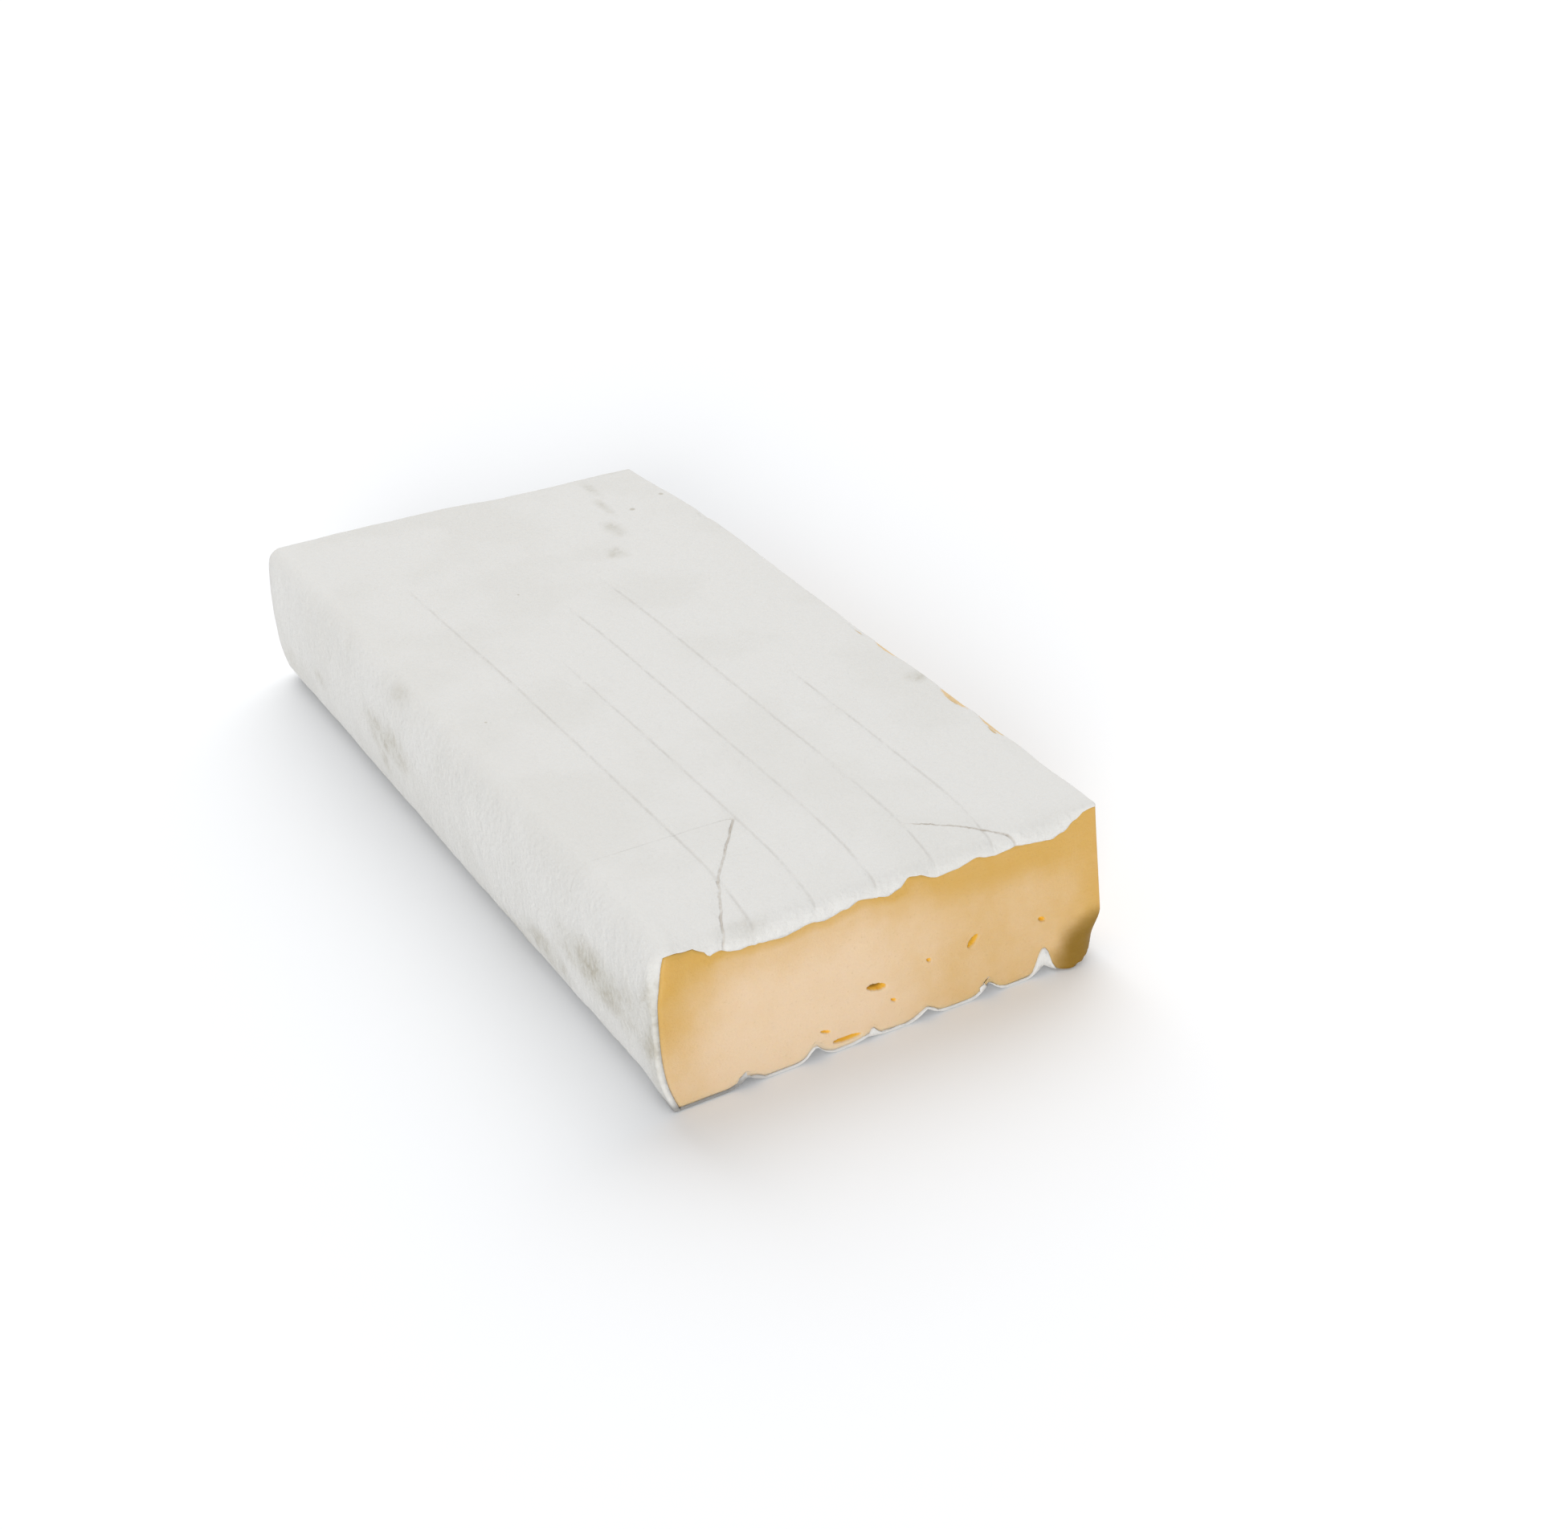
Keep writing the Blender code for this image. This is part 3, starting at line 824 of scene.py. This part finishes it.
def paste_tones(p, sizes):
    """How ripe the paste is here, and how far it has the heel's dark colour, partly dry crust and partly
    painted shade, both from 0 to 1.
    """
    half_width, half_length = sizes.width / 2, sizes.length / 2
    uneven = noise.noise(p / PATCH_SIZE)
    side = nearness(half_width - p.x, 4 * MM) * smooth((p.y + half_length - 3 * MM) / (6 * MM))
    left = nearness(p.x + half_width - 1 * MM, LEFT_BAND)
    left *= mix(0.4, 0.95, smooth((p.z - 2 * MM) / (26 * MM)))
    right = 0.6 * smooth((p.x + 18 * MM) / (48 * MM)) + 0.35 * smooth((p.x - 46 * MM) / (12 * MM))
    under_lip = along_outline(RIND_LIP, p.x / MM) * MM - p.z
    # The narrow band under the lip is partly ripe paste and partly painted shade under the rind's edge; the
    # wider band is ripe paste
    under_rind = 0.35 * nearness(under_lip, SKIN_BAND) + 0.5 * nearness(under_lip, TOP_BAND)
    ripe_end = min(1.0, max(left, right) + under_rind + 0.1 * uneven)
    ripe_side = 0.62 + 0.3 * nearness(sizes.height - p.z, 7 * MM) + 0.2 * uneven
    # The heel's dark colour is partly a dry crust and partly painted shade where it faces down and away from
    # the light; on the cut side it is darker towards the bottom
    from_heel = math.hypot((half_width - p.x) / HEEL_REACH, p.z / HEEL_CLIMB)
    heel_end = nearness(from_heel - 0.4 - 0.1 * uneven, 0.75)
    heel_side = (0.45 + 0.4 * uneven) * nearness(p.z, 8 * MM)
    heel_side += heel_end * nearness(p.y + half_length, 20 * MM)
    return mix(ripe_end, ripe_side, side), mix(heel_end, min(1.0, heel_side), side)


def build_paste(sizes):
    """The paste as a closed form that fills the rind, with eyes in both its cuts."""
    bm = build_skin(sizes, PASTE_LEVEL_GAP)
    marks = {name: bm.verts.layers.float.new(name) for name in PASTE_MARKS}
    for vert in bm.verts:
        open_share = sum(face.material_index for face in vert.link_faces) / len(vert.link_faces)
        vert[marks["ripeness"]], vert[marks["heel"]] = paste_tones(vert.co, sizes)
        vert.co -= vert.normal * mix(DEPTH_UNDER_RIND, DEPTH_AT_CUT, open_share)
    bm.normal_update()
    press_eyes(bm, marks, END_EYES, (0, -1, 0), 0)
    press_eyes(bm, marks, SIDE_EYES, (1, 0, 0), 1)
    return bm


def add_node(tree, kind, inputs=None, **settings):
    """A shader node with its settings made and its inputs set or linked."""
    node = tree.nodes.new(kind)
    for key, value in settings.items():
        setattr(node, key, value)
    for socket, value in (inputs or {}).items():
        if isinstance(value, bpy.types.NodeSocket):
            tree.links.new(value, node.inputs[socket])
        else:
            node.inputs[socket].default_value = value
    return node


def new_material(name):
    """A new material, its node tree and its main shader."""
    material = bpy.data.materials.new(name)
    material.use_nodes = True
    return material, material.node_tree, material.node_tree.nodes["Principled BSDF"]


def noise_node(tree, place, grain, detail=3.0, stretch=(1, 1, 1)):
    """A noise whose patches are about as wide as the grain, drawn out along an axis if asked."""
    mapping = add_node(tree, "ShaderNodeMapping", {"Vector": place, "Scale": stretch})
    inputs = {"Vector": mapping.outputs["Vector"], "Scale": 1 / grain, "Detail": detail}
    return add_node(tree, "ShaderNodeTexNoise", inputs).outputs["Fac"]


def ramp_node(tree, value, low, high, to_low=0.0, to_high=1.0):
    """Carries a value between low and high to a range of its own, with soft ends."""
    inputs = {"Value": value, "From Min": low, "From Max": high, "To Min": to_low, "To Max": to_high}
    return add_node(tree, "ShaderNodeMapRange", inputs, interpolation_type="SMOOTHSTEP").outputs["Result"]


def math_node(tree, operation, first, second=0.0):
    """One step of arithmetic on two values."""
    return add_node(tree, "ShaderNodeMath", {0: first, 1: second}, operation=operation).outputs["Value"]


def mark_node(tree, name):
    """A mark that the piece's points carry."""
    return add_node(tree, "ShaderNodeAttribute", attribute_name=name).outputs["Fac"]


def blend_node(tree, share, first, second):
    """One colour laid over another by this share."""
    node = add_node(tree, "ShaderNodeMix", data_type="RGBA")
    for socket, value in ((node.inputs["Factor"], share), (node.inputs[6], first), (node.inputs[7], second)):
        if isinstance(value, bpy.types.NodeSocket):
            tree.links.new(value, socket)
        else:
            socket.default_value = value
    return node.outputs[2]


def bump_node(tree, height, distance, under=None):
    """Fine relief in the shading, laid over other relief if there is some."""
    inputs = {"Height": height, "Distance": distance, "Strength": 1.0}
    if under is not None:
        inputs["Normal"] = under
    return add_node(tree, "ShaderNodeBump", inputs).outputs["Normal"]


def speck_node(tree, place, centre, radius):
    """A small round speck at this place on the rind."""
    inputs = {0: place, 1: [part * MM for part in centre]}
    distance = add_node(tree, "ShaderNodeVectorMath", inputs, operation="DISTANCE").outputs["Value"]
    return ramp_node(tree, distance, 0.4 * radius * MM, radius * MM, 1.0, 0.0)


def rind_material(colours):
    """Dry white mould: mottled, thin and stained in places, with painted shade in its creased lines, a
    painted shadow along the left foot, and brown cracks.
    """
    material, tree, shader = new_material("white_rind")
    place = add_node(tree, "ShaderNodeTexCoord").outputs["Object"]
    broad = noise_node(tree, place, 30 * MM)
    cloudy = noise_node(tree, place, 6 * MM, 4.0)
    fine = noise_node(tree, place, 1.3 * MM, 4.0)
    mottled = math_node(tree, "MULTIPLY", ramp_node(tree, broad, 0.42, 0.62), 0.14)
    colour = blend_node(tree, mottled, colours.rind, colours.stain)
    patchy = math_node(tree, "ADD", cloudy, math_node(tree, "MULTIPLY", fine, 0.5))
    worn = math_node(tree, "MULTIPLY", mark_node(tree, "stain"), ramp_node(tree, patchy, 0.45, 1.0, 0.6, 1.2))
    colour = blend_node(tree, worn, colour, colours.stain)
    brown = math_node(tree, "MULTIPLY", worn, ramp_node(tree, patchy, 0.65, 1.0, 0.0, 0.6))
    colour = blend_node(tree, brown, colour, colours.scuff)
    # Painted shadow along the left foot
    painted_foot_shadow = math_node(tree, "MULTIPLY", mark_node(tree, "foot"), 0.75)
    colour = blend_node(tree, painted_foot_shadow, colour, colours.painted_foot_shadow)
    for centre, radius in SPECKS:
        speck = math_node(tree, "MULTIPLY", speck_node(tree, place, centre, radius), 0.5)
        colour = blend_node(tree, speck, colour, colours.scuff)
    # Painted shade along the mat's lines, patchy
    line_shade_share = ramp_node(tree, mark_node(tree, "crease"), 0.2, 1.0)
    line_shade_share = math_node(tree, "MULTIPLY", line_shade_share, ramp_node(tree, patchy, 0.5, 0.95, 0.05, 0.6))
    colour = blend_node(tree, line_shade_share, colour, colours.crease)
    wander = math_node(tree, "MULTIPLY", math_node(tree, "SUBTRACT", cloudy, 0.5), 1.6)
    from_crack = math_node(tree, "ABSOLUTE", math_node(tree, "ADD", mark_node(tree, "crack_offset"), wander))
    split = ramp_node(tree, from_crack, 0.05, 0.42, 1.0, 0.0)
    split = math_node(tree, "MULTIPLY", split, mark_node(tree, "crack"))
    split = math_node(tree, "MULTIPLY", split, ramp_node(tree, patchy, 0.5, 0.95, 0.15, 0.6))
    colour = blend_node(tree, split, colour, colours.crack)
    torn = math_node(tree, "ADD", mark_node(tree, "tear"), math_node(tree, "MULTIPLY", fine, 0.8))
    torn = ramp_node(tree, torn, 0.75, 1.15, 0.0, 0.9)
    colour = blend_node(tree, torn, colour, colours.torn)
    tree.links.new(colour, shader.inputs["Base Color"])
    normal = bump_node(tree, cloudy, 0.5 * MM)
    normal = bump_node(tree, fine, 0.3 * MM, normal)
    normal = bump_node(tree, split, -0.4 * MM, normal)
    tree.links.new(normal, shader.inputs["Normal"])
    shader.inputs["Roughness"].default_value = 0.85
    shader.inputs["Specular IOR Level"].default_value = 0.2
    shader.inputs["Subsurface Weight"].default_value = 0.15
    shader.inputs["Subsurface Radius"].default_value = (1.0, 0.9, 0.8)
    shader.inputs["Subsurface Scale"].default_value = 1.5 * MM
    return material


def paste_material(colours):
    """Soft moist paste: pale in the middle, golden towards the rind, dark at the heel, partly a dry crust and
    partly painted shade, with painted shade inside the deeper eyes.
    """
    material, tree, shader = new_material("ripe_paste")
    place = add_node(tree, "ShaderNodeTexCoord").outputs["Object"]
    cloudy = noise_node(tree, place, 5 * MM, 4.0)
    fine = noise_node(tree, place, 0.7 * MM, 3.0)
    dragged = noise_node(tree, place, 1.6 * MM, 3.0, (0.12, 1, 1))
    uneven = math_node(tree, "MULTIPLY", math_node(tree, "SUBTRACT", cloudy, 0.5), 0.35)
    ripe = math_node(tree, "ADD", mark_node(tree, "ripeness"), uneven)
    colour = blend_node(tree, ramp_node(tree, ripe, -0.15, 1.15), colours.pale, colours.ripe)
    # The heel's dark colour: partly dry crust, partly painted shade
    dry_and_shaded = math_node(tree, "ADD", mark_node(tree, "heel"), uneven)
    colour = blend_node(tree, ramp_node(tree, dry_and_shaded, 0.1, 0.9), colour, colours.heel)
    specks = math_node(tree, "MULTIPLY", ramp_node(tree, fine, 0.62, 0.75), 0.12)
    colour = blend_node(tree, specks, colour, colours.heel)
    eye = mark_node(tree, "eye")
    moist = math_node(tree, "ADD", math_node(tree, "MULTIPLY", eye, 2.0), mark_node(tree, "gash"))
    colour = blend_node(tree, ramp_node(tree, moist, 0.05, 0.5, 0.0, 0.9), colour, colours.gold)
    # Painted shade inside the deeper eyes
    colour = blend_node(tree, ramp_node(tree, eye, 0.4, 0.85), colour, colours.shaded_hollow)
    tree.links.new(colour, shader.inputs["Base Color"])
    normal = bump_node(tree, dragged, 0.15 * MM)
    normal = bump_node(tree, fine, 0.1 * MM, normal)
    tree.links.new(normal, shader.inputs["Normal"])
    shader.inputs["Roughness"].default_value = 0.5
    shader.inputs["Specular IOR Level"].default_value = 0.35
    shader.inputs["Subsurface Weight"].default_value = 0.3
    shader.inputs["Subsurface Radius"].default_value = (1.0, 0.65, 0.3)
    shader.inputs["Subsurface Scale"].default_value = 2.5 * MM
    return material


class CHEESE_OT_add_rind(bpy.types.Operator):
    """Adds the white rind, a coat with a ragged edge at the cuts"""

    bl_idname = "cheese.add_rind"
    bl_label = "Add Rind"

    def execute(self, context):
        sizes = plain_values(context.scene.cheese_sizes)
        rind = finished_piece("rind", build_rind(sizes), rind_material(context.scene.cheese_colours))
        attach(rind, "root")
        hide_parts("brie_block")
        return {"FINISHED"}


class CHEESE_OT_add_paste(bpy.types.Operator):
    """Adds the ripe paste, which shows at the cut end and along the cut side"""

    bl_idname = "cheese.add_paste"
    bl_label = "Add Paste"

    def execute(self, context):
        sizes = plain_values(context.scene.cheese_sizes)
        paste = finished_piece("paste", build_paste(sizes), paste_material(context.scene.cheese_colours))
        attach(paste, "root")
        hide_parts("brie_block")
        return {"FINISHED"}


def add_floor(stage):
    bm = bmesh.new()
    bmesh.ops.create_grid(bm, x_segments=1, y_segments=1, size=stage.floor_size / 2)
    bmesh.ops.translate(bm, verts=bm.verts, vec=(0, 0, -FLOOR_DROP))
    mesh = bpy.data.meshes.new("floor")
    bm.to_mesh(mesh)
    bm.free()
    material, _, shader = new_material("pale_floor")
    shader.inputs["Base Color"].default_value = FLOOR_COLOUR
    shader.inputs["Roughness"].default_value = 0.9
    shader.inputs["Specular IOR Level"].default_value = 0.1
    mesh.materials.append(material)
    floor = bpy.data.objects.new("floor", mesh)
    bpy.context.scene.collection.objects.link(floor)


def aimed(place, target):
    """The rotation that points a lamp or a camera from its place at a target."""
    return (Vector(target) - Vector(place)).to_track_quat("-Z", "Y")


def add_sun(name, place, spread, strength):
    """A wide, soft light from the direction of this place."""
    data = bpy.data.lights.new(name, "SUN")
    data.angle = math.radians(spread)
    data.energy = strength
    lamp = bpy.data.objects.new(name, data)
    lamp.location = place
    lamp.rotation_mode = "QUATERNION"
    lamp.rotation_quaternion = aimed(place, (0, 0, 0))
    bpy.context.scene.collection.objects.link(lamp)


def add_camera():
    data = bpy.data.cameras.new("camera")
    data.sensor_fit = "HORIZONTAL"
    data.sensor_width = SENSOR_WIDTH
    data.lens = SENSOR_WIDTH * PHOTO_FOCAL_PX / PHOTO_WIDTH
    camera = bpy.data.objects.new("camera", data)
    azimuth = math.radians(CAMERA_AZIMUTH)
    elevation = math.radians(CAMERA_ELEVATION)
    back = Vector(
        (
            math.sin(azimuth) * math.cos(elevation),
            -math.cos(azimuth) * math.cos(elevation),
            math.sin(elevation),
        )
    )
    camera.location = CAMERA_PLACE
    camera.rotation_mode = "QUATERNION"
    camera.rotation_quaternion = (-back).to_track_quat("-Z", "Y")
    bpy.context.scene.collection.objects.link(camera)
    bpy.context.scene.camera = camera


class CHEESE_OT_set_stage(bpy.types.Operator):
    """Sets the pale floor, the soft light and the camera"""

    bl_idname = "cheese.set_stage"
    bl_label = "Set Stage"

    def execute(self, context):
        stage = plain_values(context.scene.cheese_stage)
        add_floor(stage)
        world = bpy.data.worlds.new("studio")
        world.use_nodes = True
        sky = world.node_tree.nodes["Background"]
        sky.inputs["Color"].default_value = (1, 1, 1, 1)
        sky.inputs["Strength"].default_value = stage.sky
        context.scene.world = world
        add_sun("main_light", MAIN_LIGHT_PLACE, MAIN_LIGHT_SPREAD, stage.main_light)
        add_sun("fill_light", FILL_LIGHT_PLACE, FILL_LIGHT_SPREAD, stage.fill_light)
        add_camera()
        context.scene.view_settings.view_transform = "Standard"
        return {"FINISHED"}


class CHEESE_PT_panel(bpy.types.Panel):
    """Lists the cheese's pieces, sizes and colours"""

    bl_label = "Cheese"
    bl_idname = "CHEESE_PT_panel"
    bl_space_type = "VIEW_3D"
    bl_region_type = "UI"
    bl_category = "Cheese"

    def draw(self, context):
        layout = self.layout
        for group in (context.scene.cheese_sizes, context.scene.cheese_colours, context.scene.cheese_stage):
            box = layout.box()
            for key in group.__annotations__:
                box.prop(group, key)
        for operator in OPERATORS:
            layout.operator(operator.bl_idname)


OPERATORS = (CHEESE_OT_add_paste, CHEESE_OT_add_rind, CHEESE_OT_set_stage)
CLASSES = (CheeseSizes, CheeseColours, CheeseStage, *OPERATORS, CHEESE_PT_panel)


def register():
    for cls in CLASSES:
        bpy.utils.register_class(cls)
    bpy.types.Scene.cheese_sizes = PointerProperty(type=CheeseSizes)
    bpy.types.Scene.cheese_colours = PointerProperty(type=CheeseColours)
    bpy.types.Scene.cheese_stage = PointerProperty(type=CheeseStage)


def unregister():
    del bpy.types.Scene.cheese_stage
    del bpy.types.Scene.cheese_colours
    del bpy.types.Scene.cheese_sizes
    for cls in reversed(CLASSES):
        bpy.utils.unregister_class(cls)


def main():
    register()
    bpy.ops.cheese.add_paste()
    bpy.ops.cheese.add_rind()
    bpy.ops.cheese.set_stage()


if __name__ == "__main__":
    main()
